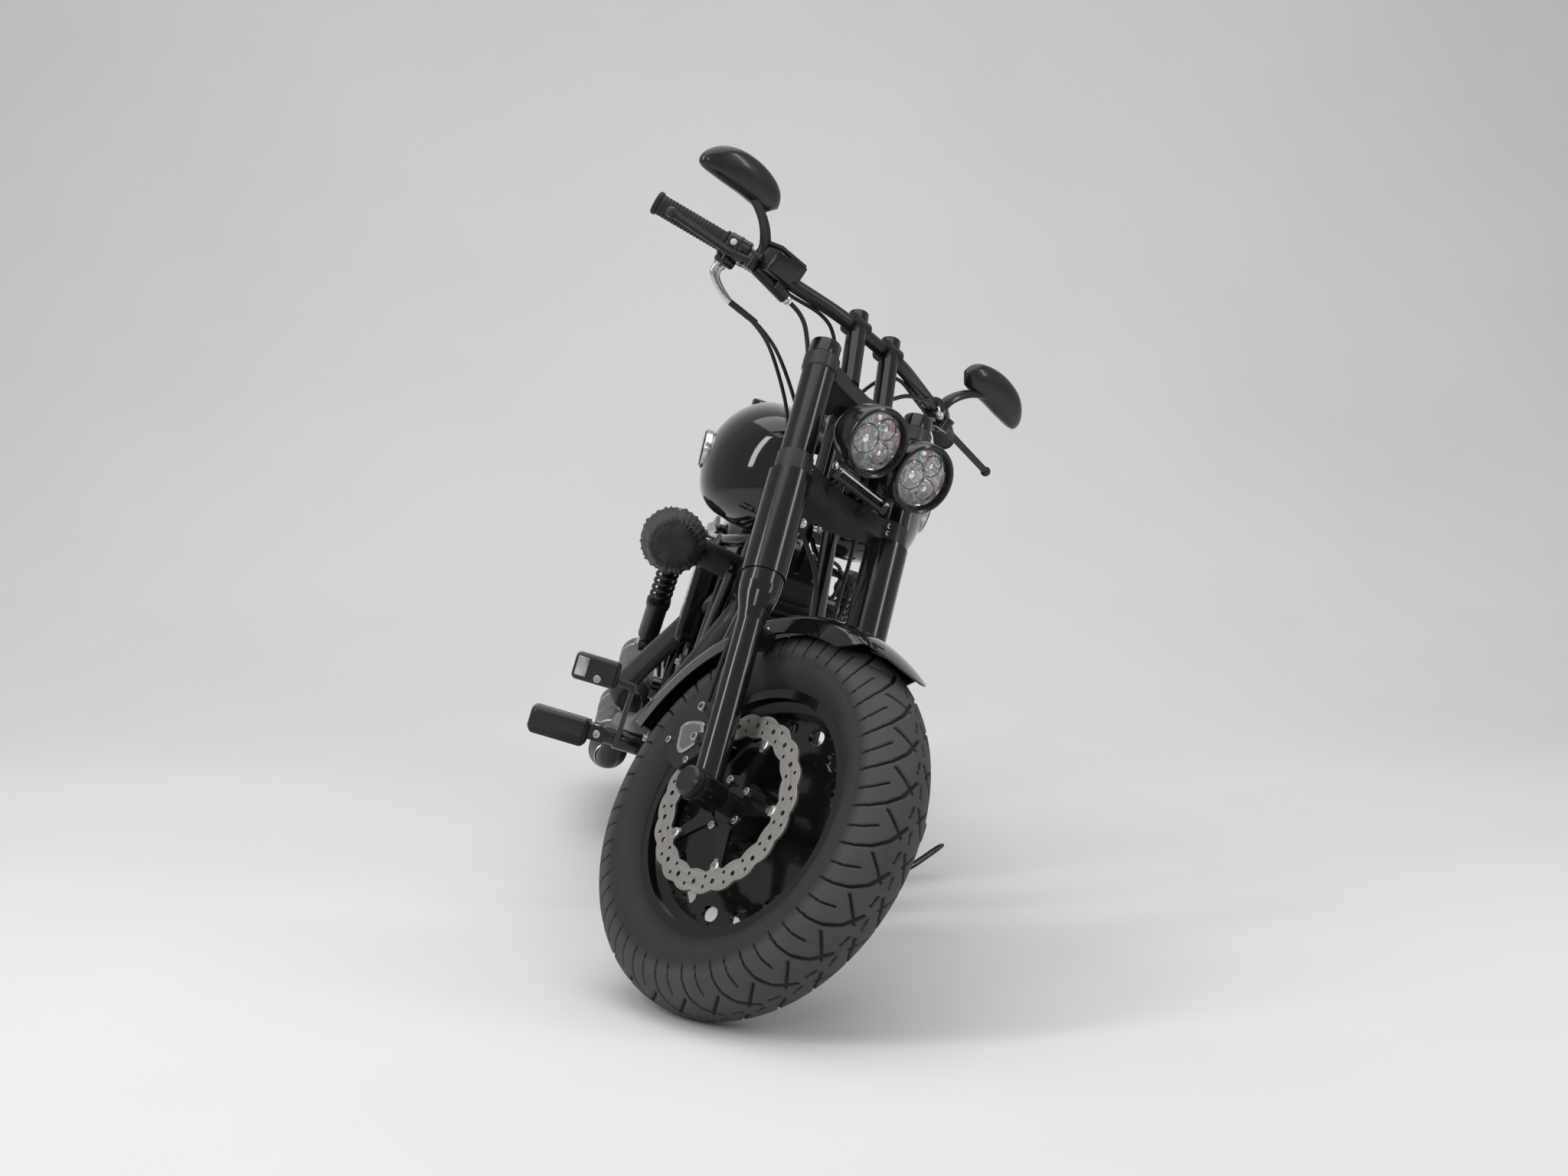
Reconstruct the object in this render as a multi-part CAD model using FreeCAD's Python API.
import FreeCAD, Part
import math
import os

# Twin-lamp V-twin chopper motorcycle, leaning on its side stand with the fork on its left stop.
# Millimetres. The machine is drawn upright with straight steering: +X forward, +Y the rider's left,
# +Z up, with X = 0 at the rear axle and Z = 0 on the ground. stand_pose() then steers and leans it.

V = FreeCAD.Vector

# Driving dimensions: stance
WHEELBASE = 1620.0
RAKE = 29.0
FORK_OFFSET = 46.0
STEER_STOP = 37.5
LEAN = 16.5

# Driving dimensions: wheels
FRONT_AXLE_Z = 320.0
FRONT_TYRE_R = 320.0
FRONT_TYRE_CROWN_R = 66.0
FRONT_TYRE_DEEP = 101.5
FRONT_RIM_HALF = 46.0
REAR_AXLE_Z = 329.0
REAR_TYRE_R = 329.0
REAR_TYRE_CROWN_R = 105.0
REAR_TYRE_DEEP = 110.5
REAR_TYRE_HALF = 90.0
REAR_RIM_HALF = 70.0
FLANGE_DEEP = 14.5
RIM_WALL = 7.0
AXLE_R = 12.5
RUNNING_FIT = 0.05
MOVING_GAP = 0.4
DISC_R = 150.0
DISC_THICK = 5.0
FRONT_DISC_Y = 76.0
REAR_DISC_Y = 100.0

# Driving dimensions: fork and steering
LEG_Y = 126.0
FORK_TUBE_R = 24.5
UPPER_COVER_R = 28.0
LOWER_COVER_R = 36.5
SLIDER_TOP_R = 34.0
SLIDER_R = 22.5
LOWER_TREE_T = 558.0
LOWER_TREE_H = 38.0
UPPER_TREE_T = 757.0
UPPER_TREE_H = 29.0
COVER_LOW_T = 372.0
FORK_TOP_T = 806.0
STEM_R = 12.5
HEAD_R = 29.0
BAR_R = 12.7
RISER_R = 17.5
RISER_Y = 44.5
GRIP_R = 18.0
GRIP_LEN = 130.0

# Driving dimensions: lamps
LAMP_X = 1405.0
LAMP_Y = 61.0
LAMP_Z = 931.0
LAMP_R = 59.5
LENS_R = 52.0

# Driving dimensions: engine and running gear
CRANK_X = 770.0
CRANK_Z = 330.0
CYLINDER_TILT = 22.5
BARREL_R = 62.0
FIN_R = 84.0
FIN_COUNT = 9
FRAME_TUBE_R = 16.0
BACKBONE_R = 24.0
TUNNEL_HALF = 32.0
ENGINE_FLOOR_Z = 190.0
SEAT_GAP = 0.3
SWINGARM_PIVOT_X = 400.0
SWINGARM_PIVOT_Z = 300.0
RAIL_Y = 128.0
RAIL_Z = 160.0
SWINGARM_Y = 142.0
SHOCK_Y = 190.0
PIPE_R = 23.0
MUFFLER_R = 42.0
FILTER_BACK_X = 800.0
FILTER_Z = 638.0
ELBOW_R = 27.0
STAND_PIVOT = V(690.0, 166.0, 160.0)
STAND_FOOT = V(735.0, 400.0, 0.0)
STAND_PIN_R = 8.0
STAND_FOLD = 88.0
BELT_Y = 103.0
BELT_WIDTH = 20.0
PULLEY_R = 112.0
SPROCKET_R = 44.0
SPROCKET_X = 560.0

# Derived places
FRONT_AXLE = V(WHEELBASE, 0, FRONT_AXLE_Z)
REAR_AXLE = V(0, 0, REAR_AXLE_Z)
FRONT_RIM_R = FRONT_TYRE_R - FRONT_TYRE_DEEP
REAR_RIM_R = REAR_TYRE_R - REAR_TYRE_DEEP
REAR_TOP_Z = REAR_AXLE_Z + REAR_TYRE_R
SHOCK_TOP_Z = REAR_TOP_Z - 32
CRANK = V(CRANK_X, 0, CRANK_Z)
COVER_TOP_T = LOWER_TREE_T
UP = V(0, 0, 1)
LEFT = V(0, 1, 0)
FORWARD = V(1, 0, 0)
FORK_FRAME = FreeCAD.Placement(FRONT_AXLE, FreeCAD.Rotation(LEFT, -RAKE))
LEVER_PIN = V(1114, 270, 1074)
CLUTCH_TOP = V(1124, 222, 1084)
THROTTLE_TOP = V(1058, 289, 1052)
MASTER_END = V(1122, 180, 1065)


# Plain solids
def cylinder(start, end, radius):
    run = end - start
    return Part.makeCylinder(radius, run.Length, start, run)


def cone(start, end, radius_start, radius_end):
    run = end - start
    return Part.makeCone(radius_start, radius_end, run.Length, start, run)


def ring(start, end, radius, bore):
    return cylinder(start, end, radius).cut(cylinder(start, end, bore))


def block(low, high):
    size = high - low
    return Part.makeBox(size.x, size.y, size.z, low)


def fuse(*shapes):
    whole = shapes[0]
    if len(shapes) > 1:
        whole = whole.multiFuse(list(shapes[1:]))
    return whole.removeSplitter()


def cut(shape, *tools):
    for tool in tools:
        shape = shape.cut(tool)
    return shape


def mirrored(shape):
    return shape.mirror(V(0, 0, 0), LEFT)


def pair(shape):
    return Part.makeCompound([shape, mirrored(shape)])


def on_fork(x, y, t):
    """A point given along the fork: x ahead of the leg line, y to the left, t up from the axle."""
    return FORK_FRAME.multVec(V(x, y, t))


def fork_coordinates(point):
    return FORK_FRAME.inverse().multVec(point)


# Routes: straight runs joined by tangent arcs
def route(points, share=0.45):
    edges = []
    start = points[0]
    for before, corner, after in zip(points, points[1:], points[2:]):
        reach = share * min((corner - before).Length, (after - corner).Length)
        way_in = (corner - before).normalize()
        way_out = (after - corner).normalize()
        if way_in.getAngle(way_out) < 0.01:
            continue
        arc_start = corner - way_in * reach
        arc_end = corner + way_out * reach
        half_turn = way_in.getAngle(way_out) / 2
        radius = reach / math.tan(half_turn)
        to_centre = (way_out - way_in).normalize()
        middle = corner + to_centre * (radius / math.cos(half_turn) - radius)
        if (arc_start - start).Length > 1e-6:
            edges.append(Part.makeLine(start, arc_start))
        edges.append(Part.Arc(arc_start, middle, arc_end).toShape())
        start = arc_end
    edges.append(Part.makeLine(start, points[-1]))
    return Part.Wire(edges)


def pipe(points, radius, share=0.45):
    path = route(points, share)
    heading = points[1] - points[0]
    profile = Part.Wire(Part.makeCircle(radius, points[0], heading))
    return path.makePipeShell([profile], True, False)


def smooth_wire(points):
    curve = Part.BSplineCurve()
    curve.interpolate(points, PeriodicFlag=True)
    return Part.Wire(curve.toShape())


def loft(wires, ruled=False):
    return Part.makeLoft(wires, True, ruled)


def outline(points):
    return Part.makePolygon(points + [points[0]])


def extruded(points, along):
    return Part.Face(outline(points)).extrude(along)


def revolved(wire, centre, axis=LEFT, angle=360.0):
    return Part.Face(wire).revolve(centre, axis, angle)


def slab(points, thickness, radius):
    """A plate whose outline has its upright corners rounded."""
    plate = extruded(points, thickness)
    along = V(thickness).normalize()
    corners = [
        edge
        for edge in plate.Edges
        if abs(abs(edge.tangentAt(edge.FirstParameter).dot(along)) - 1) < 1e-6
    ]
    return plate.makeFillet(radius, corners)


# Wheels
def tyre(centre, radius, crown_r, half, rim_r, rim_half):
    """A tyre's closed section, turned about the wheel's axis. The crown is one true arc."""
    def at(y, r):
        return V(centre.x, centre.y + y, centre.z + r)

    bead_r = rim_r - FLANGE_DEEP
    crown = radius - crown_r
    shoulder = min(half * 0.86, crown_r * 0.86)
    shoulder_r = crown + math.sqrt(crown_r ** 2 - shoulder ** 2)
    belly_r = bead_r + 0.45 * (shoulder_r - bead_r)
    bead_y = rim_half - RIM_WALL
    tread = Part.Arc(at(-shoulder, shoulder_r), at(0, radius), at(shoulder, shoulder_r)).toShape()
    left = Part.Arc(at(shoulder, shoulder_r), at(half, belly_r), at(bead_y, bead_r)).toShape()
    right = Part.Arc(at(-bead_y, bead_r), at(-half, belly_r), at(-shoulder, shoulder_r)).toShape()
    base = Part.makeLine(at(bead_y, bead_r), at(-bead_y, bead_r))
    return revolved(Part.Wire([tread, left, base, right]), centre)


def rim(centre, rim_r, rim_half, hub_half, slots):
    """Pressed disc wheel: flanged well, dished web with slots beside the rim, and a bored hub."""
    def at(y, r):
        return V(centre.x, centre.y + y, centre.z + r)

    bead_r = rim_r - FLANGE_DEEP
    well_r = bead_r - 22
    section = [
        at(-rim_half, rim_r),
        at(-rim_half + RIM_WALL - 2, rim_r),
        at(-rim_half + RIM_WALL - 0.3, bead_r - 0.3),
        at(-rim_half + 24, bead_r - 0.3),
        at(-rim_half + 30, well_r + 5),
        at(rim_half - 30, well_r + 5),
        at(rim_half - 24, bead_r - 0.3),
        at(rim_half - RIM_WALL + 0.3, bead_r - 0.3),
        at(rim_half - RIM_WALL + 2, rim_r),
        at(rim_half, rim_r),
        at(rim_half, bead_r - 10),
        at(rim_half - 20, bead_r - 8),
        at(rim_half - 27, well_r - 2),
        at(-rim_half + 27, well_r - 2),
        at(-rim_half + 20, bead_r - 8),
        at(-rim_half, bead_r - 10),
    ]
    well = revolved(outline(section), centre)
    web = ring(at(-4, 0), at(4, 0), well_r, AXLE_R + RUNNING_FIT)
    slot_r = well_r - 22
    holes = []
    for number in range(slots):
        turn = 360.0 / slots * number
        hole = cylinder(at(-10, slot_r), at(10, slot_r), 12)
        ends = cylinder(V(centre.x + 12, centre.y - 10, centre.z + slot_r),
                        V(centre.x + 12, centre.y + 10, centre.z + slot_r), 12)
        waist = block(V(centre.x, centre.y - 10, centre.z + slot_r - 12),
                      V(centre.x + 12, centre.y + 10, centre.z + slot_r + 12))
        slot = fuse(hole, ends, waist)
        slot.rotate(centre, LEFT, turn)
        holes.append(slot)
    web = web.cut(Part.makeCompound(holes))
    hub = ring(at(-hub_half, 0), at(hub_half, 0), 33, AXLE_R + RUNNING_FIT)
    flare = ring(at(-22, 0), at(22, 0), 62, 32)
    return fuse(well, web, hub, flare)


def rotor(centre, y, side):
    """Wave-edged brake rotor, riveted at five tabs to the carrier bolted on the hub."""
    inner = V(centre.x, centre.y + y - DISC_THICK / 2, centre.z)
    waves = 20
    points = []
    for step in range(waves * 4):
        turn = 2 * math.pi * step / (waves * 4)
        reach = DISC_R - 3 + 3 * math.cos(waves * turn)
        points.append(inner + V(reach * math.cos(turn), 0, reach * math.sin(turn)))
    face = Part.Face(smooth_wire(points))
    disc = face.extrude(V(0, DISC_THICK, 0))
    disc = disc.cut(cylinder(inner - LEFT, inner + LEFT * (DISC_THICK + 1), DISC_R - 38))
    tabs = []
    for number in range(5):
        turn = math.radians(72 * number + 18)
        seat = inner + V(math.cos(turn), 0, math.sin(turn)) * (DISC_R - 44)
        tabs.append(cylinder(seat, seat + LEFT * DISC_THICK, 13))
    return fuse(disc, *tabs)


def rotor_carrier(centre, y, hub_face):
    """Five-armed carrier: hub flange, arms and rivet eyes, beside the rotor's inner face."""
    side = 1 if y > 0 else -1
    face_y = y - side * (DISC_THICK / 2)
    base = V(centre.x, centre.y + hub_face * side, centre.z)
    top = V(centre.x, centre.y + face_y, centre.z)
    flange = ring(base, top, 48, 33.2)
    pieces = [flange]
    for number in range(5):
        turn = math.radians(72 * number + 18)
        way = V(math.cos(turn), 0, math.sin(turn))
        across = V(-math.sin(turn), 0, math.cos(turn))
        start = top + way * 40
        end = top + way * (DISC_R - 44)
        thick = V(0, -side * 7, 0)
        arm = extruded([start + across * 14, end + across * 8, end - across * 8, start - across * 14], thick)
        eye = cylinder(end, end + thick, 9)
        pieces += [arm, eye]
    return fuse(*pieces)


def front_wheel():
    wheel = rim(FRONT_AXLE, FRONT_RIM_R, FRONT_RIM_HALF, 70.0, 15)
    casing = tyre(FRONT_AXLE, FRONT_TYRE_R, FRONT_TYRE_CROWN_R, 66.5, FRONT_RIM_R, FRONT_RIM_HALF)
    carrier = rotor_carrier(FRONT_AXLE, FRONT_DISC_Y, 22).cut(wheel)
    return {
        "front_tyre": casing.cut(wheel),
        "front_rim": wheel,
        "front_rotors": pair(rotor(FRONT_AXLE, FRONT_DISC_Y, 1)),
        "front_rotor_carriers": pair(carrier),
    }


def rear_wheel():
    hub_half = 96.0
    disc = rotor(REAR_AXLE, -REAR_DISC_Y, -1)
    carrier = rotor_carrier(REAR_AXLE, -REAR_DISC_Y, 22)
    drum = ring(V(0, BELT_Y - 10, REAR_AXLE_Z), V(0, BELT_Y + 10, REAR_AXLE_Z), PULLEY_R, PULLEY_R - 16)
    web = ring(V(0, BELT_Y - 7, REAR_AXLE_Z), V(0, BELT_Y + 3, REAR_AXLE_Z), PULLEY_R - 15, 33.2)
    holes = []
    for number in range(5):
        turn = math.radians(72 * number)
        seat = V(66 * math.cos(turn), BELT_Y - 10, REAR_AXLE_Z + 66 * math.sin(turn))
        holes.append(cylinder(seat, seat + LEFT * 20, 15))
    boss = ring(V(0, 22, REAR_AXLE_Z), V(0, BELT_Y, REAR_AXLE_Z), 44, 33.2)
    pulley = fuse(drum, web.cut(Part.makeCompound(holes)), boss)
    wheel = rim(REAR_AXLE, REAR_RIM_R, REAR_RIM_HALF, hub_half, 15)
    casing = tyre(REAR_AXLE, REAR_TYRE_R, REAR_TYRE_CROWN_R, REAR_TYRE_HALF, REAR_RIM_R, REAR_RIM_HALF)
    return {
        "rear_tyre": casing.cut(wheel),
        "rear_rim": wheel,
        "rear_rotor": disc,
        "rear_rotor_carrier": carrier.cut(wheel),
        "rear_pulley": pulley.cut(wheel),
    }


# Fork and steering
def fork_legs():
    tube_low = COVER_LOW_T - 60
    tube = cylinder(V(0, LEG_Y, tube_low), V(0, LEG_Y, FORK_TOP_T - 8), FORK_TUBE_R)
    cap = cone(V(0, LEG_Y, FORK_TOP_T - 8), V(0, LEG_Y, FORK_TOP_T), FORK_TUBE_R - 1, FORK_TUBE_R - 5)
    hexagon = cylinder(V(0, LEG_Y, FORK_TOP_T), V(0, LEG_Y, FORK_TOP_T + 5), 12)
    tubes = fuse(tube, cap, hexagon)
    upper_low = LOWER_TREE_T + LOWER_TREE_H
    upper = ring(V(0, LEG_Y, upper_low), V(0, LEG_Y, UPPER_TREE_T), UPPER_COVER_R, FORK_TUBE_R)
    lower = ring(V(0, LEG_Y, COVER_LOW_T), V(0, LEG_Y, COVER_TOP_T), LOWER_COVER_R, SLIDER_TOP_R + 0.8)
    lip = ring(V(0, LEG_Y, COVER_TOP_T - 4), V(0, LEG_Y, COVER_TOP_T), LOWER_COVER_R, FORK_TUBE_R)
    lower = fuse(lower, lip)
    covers = Part.makeCompound([upper, lower])
    return {
        "fork_tubes": pair(tubes),
        "fork_covers": Part.makeCompound([covers, mirrored(covers)]),
        "fork_sliders": pair(fork_slider()),
    }


def fork_slider():
    """Lower leg: bottle-necked casting with the axle boss and its pinch clamp."""
    def at(r, t):
        return V(r, LEG_Y, t)

    top = COVER_LOW_T + 22
    foot = -16
    corners = [
        at(0, foot), at(SLIDER_R + 1, foot), at(SLIDER_R, 290), at(SLIDER_R + 2.5, 308),
        at(SLIDER_TOP_R - 2, 334), at(SLIDER_TOP_R, 350), at(SLIDER_TOP_R, top), at(0, top),
    ]
    leg = revolved(outline(corners), at(0, 0), UP)
    boss = cylinder(V(0, LEG_Y - 24, 0), V(0, LEG_Y + 27, 0), 27)
    pinch = block(V(-36, LEG_Y - 10, -14), V(0, LEG_Y + 10, 14))
    solid = fuse(leg, boss, pinch)
    tube_low = COVER_LOW_T - 60
    bore = cylinder(V(0, LEG_Y, tube_low), V(0, LEG_Y, top + 1), FORK_TUBE_R)
    axle_bore = cylinder(V(0, LEG_Y - 30, 0), V(0, LEG_Y + 40, 0), AXLE_R)
    return cut(solid, bore, axle_bore)


def trees():
    """Upper and lower fork yokes: gulled plates between round leg clamps, with the stem."""
    def yoke(t, height, boss_r):
        half = LEG_Y
        back = -FORK_OFFSET - 34
        corners = [
            V(-20, half - 14, t),
            V(14, half - 14, t),
            V(6, half - 60, t),
            V(-4, 0, t),
            V(6, -half + 60, t),
            V(14, -half + 14, t),
            V(-20, -half + 14, t),
            V(back, -30, t),
            V(back, 30, t),
        ]
        plate = slab(corners, V(0, 0, height), 5)
        boss = cylinder(V(0, half, t), V(0, half, t + height), boss_r)
        boss = boss.makeChamfer(2.5, [edge for edge in boss.Edges if len(edge.Vertexes) == 1])
        return fuse(plate, boss, mirrored(boss))

    legs = pair(cylinder(V(0, LEG_Y, 0), V(0, LEG_Y, 1000), FORK_TUBE_R))
    lower = yoke(LOWER_TREE_T, LOWER_TREE_H, FORK_TUBE_R + 6)
    upper = yoke(UPPER_TREE_T, UPPER_TREE_H, FORK_TUBE_R + 6)
    stem = cylinder(V(-FORK_OFFSET, 0, LOWER_TREE_T), V(-FORK_OFFSET, 0, UPPER_TREE_T + UPPER_TREE_H), STEM_R)
    nut = cylinder(V(-FORK_OFFSET, 0, UPPER_TREE_T + UPPER_TREE_H),
                   V(-FORK_OFFSET, 0, UPPER_TREE_T + UPPER_TREE_H + 12), 17)
    upper = upper.cut(legs).cut(stem)
    lower = fuse(lower.cut(legs), stem, nut)
    return {"lower_tree": lower, "upper_tree": upper}


def front_axle():
    end = LEG_Y + 30
    rod = cylinder(FRONT_AXLE - LEFT * end, FRONT_AXLE + LEFT * end, AXLE_R)
    head = cylinder(FRONT_AXLE + LEFT * (LEG_Y + 27), FRONT_AXLE + LEFT * (LEG_Y + 34), 20)
    nut = cylinder(FRONT_AXLE - LEFT * (LEG_Y + 27), FRONT_AXLE - LEFT * (LEG_Y + 44), 24)
    nut = nut.makeChamfer(4, [nut.Edges[0]])
    spacer = ring(FRONT_AXLE + LEFT * 70.5, FRONT_AXLE + LEFT * (LEG_Y - 24), 18, AXLE_R)
    return fuse(rod, head, nut, spacer, mirrored(spacer))


def arch(centre, inner_r, half, drop, wall, start, end, lip=0.0):
    """A mudguard: crowned sheet section swept about the axle from angle start to end (deg above +X)."""
    def at(y, r):
        return V(centre.x + r, centre.y + y, centre.z)

    outside = [at(-half, inner_r - drop), at(-half * 0.82, inner_r - drop * 0.18), at(0, inner_r + wall + 6)]
    crown_out = Part.Arc(at(-half * 0.86, inner_r + wall - drop * 0.2), at(0, inner_r + wall + 6),
                         at(half * 0.86, inner_r + wall - drop * 0.2)).toShape()
    crown_in = Part.Arc(at(half * 0.86 - wall, inner_r - drop * 0.2 - 0.5), at(0, inner_r + 6),
                        at(-half * 0.86 + wall, inner_r - drop * 0.2 - 0.5)).toShape()
    left_out = Part.makeLine(at(half * 0.86, inner_r + wall - drop * 0.2), at(half, inner_r - drop))
    left_low = Part.makeLine(at(half, inner_r - drop), at(half - wall, inner_r - drop))
    left_in = Part.makeLine(at(half - wall, inner_r - drop), at(half * 0.86 - wall, inner_r - drop * 0.2 - 0.5))
    right_in = Part.makeLine(at(-half * 0.86 + wall, inner_r - drop * 0.2 - 0.5), at(-half + wall, inner_r - drop))
    right_low = Part.makeLine(at(-half + wall, inner_r - drop), at(-half, inner_r - drop))
    right_out = Part.makeLine(at(-half, inner_r - drop), at(-half * 0.86, inner_r + wall - drop * 0.2))
    wire = Part.Wire([crown_out, left_out, left_low, left_in, crown_in, right_in, right_low, right_out])
    sweep = revolved(wire, centre, LEFT, -(end - start))
    sweep.rotate(centre, LEFT, -start)
    return sweep


def front_fender():
    """Short crowned guard, narrowing to a rounded tip ahead, with a bridge to each fork leg."""
    guard = arch(FRONT_AXLE, FRONT_TYRE_R + 14, 78, 40, 3, 69, 178)
    beyond = block(V(0, -120, 150), V(300, 120, FRONT_TYRE_R + 60))
    nose = Part.Face(Part.Wire(Part.Ellipse(V(0, 0, 140), 170, 82).toShape())).extrude(V(0, 0, FRONT_TYRE_R))
    spare = beyond.cut(nose)
    spare.Placement = FreeCAD.Placement(FRONT_AXLE, FreeCAD.Rotation(LEFT, -8))
    bridge = place_on_fork(block(V(-26, 76, FRONT_TYRE_R - 58), V(10, LEG_Y, FRONT_TYRE_R - 28)))
    return fuse(guard.cut(spare), bridge, mirrored(bridge))


def place_on_fork(shape):
    moved = shape.copy()
    moved.Placement = FORK_FRAME.multiply(moved.Placement)
    return moved


def headlamps():
    """Two round deep buckets side by side, each with a bezel ring and a domed lens."""
    def profile(points):
        return outline([V(LAMP_X + x, LAMP_Y, LAMP_Z + r) for x, r in points])

    centre = V(LAMP_X, LAMP_Y, LAMP_Z)
    shell = revolved(profile([
        (4, LENS_R), (4, LAMP_R), (-14, LAMP_R), (-16, LAMP_R - 1.5), (-52, LAMP_R - 8), (-74, 34), (-80, 16),
        (-80, 0), (-76, 0), (-76, 14), (-70, 31), (-50, LAMP_R - 11), (-6, LAMP_R - 5), (-6, LENS_R),
    ]), centre, FORWARD)
    edge_r = LENS_R - 0.1
    sag = 12.0
    ball_r = (edge_r ** 2 + sag ** 2) / (2 * sag)
    ball = Part.makeSphere(ball_r, centre + V(-4 + sag - ball_r, 0, 0))
    hollow = Part.makeSphere(ball_r - 3, centre + V(-4 + sag - ball_r, 0, 0))
    lens = cylinder(centre + V(-6, 0, 0), centre + V(20, 0, 0), edge_r).common(ball).cut(hollow)
    return {"headlamp_shells": pair(shell), "headlamp_lenses": pair(lens)}


def lamp_bracket():
    """Cross tube and two stays that carry the lamps off the lower yoke."""
    low = fork_coordinates(V(LAMP_X - 45, 0, LAMP_Z - 78))
    bar = cylinder(V(LAMP_X - 45, -66, LAMP_Z - 78), V(LAMP_X - 45, 66, LAMP_Z - 78), 7)
    post = block(V(LAMP_X - 52, LAMP_Y - 6, LAMP_Z - 84), V(LAMP_X - 38, LAMP_Y + 6, LAMP_Z - 48))
    post = fuse(post, cylinder(V(LAMP_X - 45, LAMP_Y, LAMP_Z - 84), V(LAMP_X - 45, LAMP_Y, LAMP_Z - 30), 6))
    stay = cylinder(V(LAMP_X - 45, 40, LAMP_Z - 78), on_fork(-2, 40, LOWER_TREE_T + LOWER_TREE_H / 2), 8)
    return fuse(bar, post, mirrored(post), stay, mirrored(stay))


def handlebar_points():
    """Left half of the bar, from its middle: across the risers, out, then back to the hand."""
    return [
        V(1156, 0, 1097),
        V(1156, 80, 1097),
        V(1092, 250, 1086),
        V(975, 398, 1075),
    ]


def handlebar():
    points = handlebar_points()
    whole = [V(p.x, -p.y, p.z) for p in reversed(points[1:])] + points[1:]
    return pipe(whole, BAR_R, 0.25)


def risers():
    """Pulled-back round posts, each with a clamp behind its head that grips the bar."""
    middle = handlebar_points()[0]
    top = V(1141, RISER_Y, 1120)
    base = on_fork(-10, RISER_Y, UPPER_TREE_T + UPPER_TREE_H)
    axis = (top - base).normalize()
    foot = base - axis * 12
    post = cylinder(foot, top, RISER_R)
    clamp = cylinder(middle + LEFT * (RISER_Y - 18), middle + LEFT * (RISER_Y + 18), BAR_R + 8)
    solid = fuse(post, clamp)
    below = place_on_fork(block(V(-120, -200, 0), V(120, 200, UPPER_TREE_T + UPPER_TREE_H)))
    return pair(solid.cut(below))


def bar_end(distance):
    """The point on the bar's straight hand end this far in from its tip."""
    points = handlebar_points()
    run = (points[3] - points[2]).normalize()
    return points[3] - run * distance


def grips():
    solid = cylinder(bar_end(GRIP_LEN), bar_end(-6), GRIP_R)
    ends = [edge for edge in solid.Edges if len(edge.Vertexes) == 1]
    return pair(solid.makeChamfer(2.0, ends))


def bar_controls():
    """Switch housing and lever perch inside each grip; the right one carries the brake reservoir."""
    housing = cylinder(bar_end(GRIP_LEN + 44), bar_end(GRIP_LEN + 1), 23)
    ends = [edge for edge in housing.Edges if len(edge.Vertexes) == 1]
    housing = housing.makeFillet(4, ends)
    clamp = cylinder(bar_end(GRIP_LEN + 78), bar_end(GRIP_LEN + 52), 20)
    middle = bar_end(GRIP_LEN + 65)
    arm = cylinder(middle, LEVER_PIN, 11)
    boss = cylinder(LEVER_PIN - UP * 12, LEVER_PIN + UP * 12, 13)
    side = fuse(housing, clamp, arm, boss, cylinder(middle, bar_end(GRIP_LEN + 20), 15))
    way = (LEVER_PIN - CLUTCH_TOP).normalize()
    stub = cylinder(CLUTCH_TOP + way * 1.8, LEVER_PIN - way * 7, 5).cut(side)
    pump = cylinder(LEVER_PIN + V(-2, -14, 0), MASTER_END, 12)
    neck = cylinder(MASTER_END + V(10, 28, 0), MASTER_END + V(14, 30, 30), 9)
    tank = block(MASTER_END + V(2, 12, 23), MASTER_END + V(32, 56, 57))
    tank = tank.makeFillet(4, tank.Edges)
    elbows = [cylinder(top + UP * 1.4, top + UP * 16, 4.5) for top in (THROTTLE_TOP, THROTTLE_TOP - LEFT * 12)]
    right = mirrored(fuse(side, pump, neck, tank, *elbows))
    return Part.makeCompound([side, stub, right])


def levers():
    """Ball-ended blades that reach out ahead of the grips."""
    root = LEVER_PIN + V(-10, 34, -6)
    tip = V(1088, 435, 1059)
    blade = pipe([LEVER_PIN + V(4, 8, 0), root, tip], 6.5, 0.3)
    return pair(fuse(blade, Part.makeSphere(9.5, tip)))


def mirror(side):
    """Half-moon mirror head, flat along its lower edge, on a curved stem from the perch."""
    base = bar_end(GRIP_LEN + 65) + V(8, 0, 14)
    stem = pipe([base, base + V(2, 6, 40), V(1100, 340, 1166)], 5.5)
    centre = V(1084, 351, 1173)
    sections = []
    for depth, share in ((-10, 0.86), (-4, 1.0), (8, 0.86), (18, 0.42)):
        ring_points = []
        for step in range(16):
            turn = 2 * math.pi * step / 16
            along = 84 * math.cos(turn) * share
            tall = (38 if math.sin(turn) > 0 else 15) * math.sin(turn) * share
            ring_points.append(centre + V(depth - 0.012 * along, along, tall - 0.08 * along))
        sections.append(smooth_wire(ring_points))
    solid = fuse(stem, loft(sections))
    return solid if side > 0 else mirrored(solid)


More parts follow.
